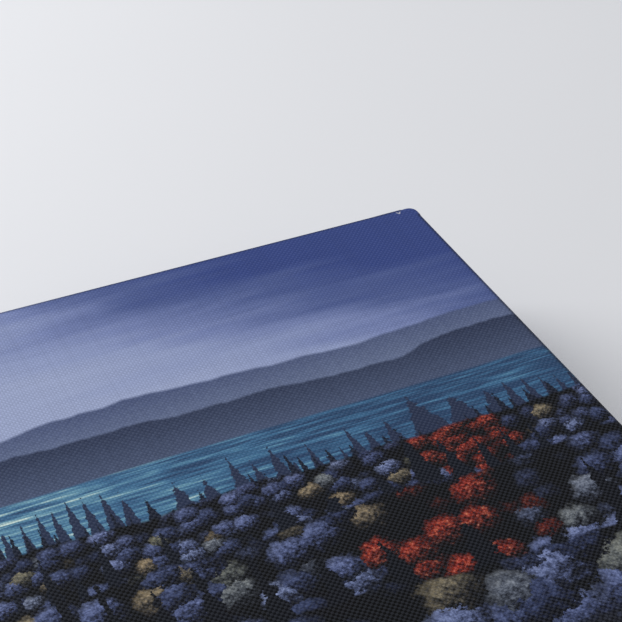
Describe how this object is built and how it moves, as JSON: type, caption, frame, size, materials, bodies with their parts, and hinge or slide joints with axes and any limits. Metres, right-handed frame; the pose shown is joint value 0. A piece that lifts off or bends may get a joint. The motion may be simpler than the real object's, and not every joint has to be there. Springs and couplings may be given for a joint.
{
  "type": "stretched canvas print",
  "caption": "Small landscape-format canvas print, gallery wrapped over a mitred pine stretcher frame with keys, folded corners and staples behind.",
  "frame": {"origin": "middle of the part on the surface that it lies on, back down", "axes": "+X to the picture's right, +Y to the picture's top edge, +Z out of the picture"},
  "size_m": [0.305, 0.203, 0.038],
  "materials": {
    "printed_canvas": "inkjet print on woven cotton and polyester canvas, satin",
    "pine": "planed, bare",
    "key_wood": "sawn, bare",
    "staple_wire": "galvanised"
  },
  "bodies": {
    "root": {"canvas": "printed_canvas", "key_long_1": "key_wood", "key_long_2": "key_wood", "key_long_3": "key_wood", "key_long_4": "key_wood", "key_side_1": "key_wood", "key_side_2": "key_wood", "key_side_3": "key_wood", "key_side_4": "key_wood", "rail_bottom": "pine", "rail_left": "pine", "rail_right": "pine", "rail_top": "pine", "staple_bottom_1": "staple_wire", "staple_bottom_2": "staple_wire", "staple_bottom_3": "staple_wire", "staple_bottom_4": "staple_wire", "staple_bottom_5": "staple_wire", "staple_bottom_6": "staple_wire", "staple_corner_1": "staple_wire", "staple_corner_2": "staple_wire", "staple_corner_3": "staple_wire", "staple_corner_4": "staple_wire", "staple_left_1": "staple_wire", "staple_left_2": "staple_wire", "staple_left_3": "staple_wire", "staple_left_4": "staple_wire", "staple_right_1": "staple_wire", "staple_right_2": "staple_wire", "staple_right_3": "staple_wire", "staple_right_4": "staple_wire", "staple_top_1": "staple_wire", "staple_top_2": "staple_wire", "staple_top_3": "staple_wire", "staple_top_4": "staple_wire", "staple_top_5": "staple_wire", "staple_top_6": "staple_wire"}
  },
  "joints": []
}
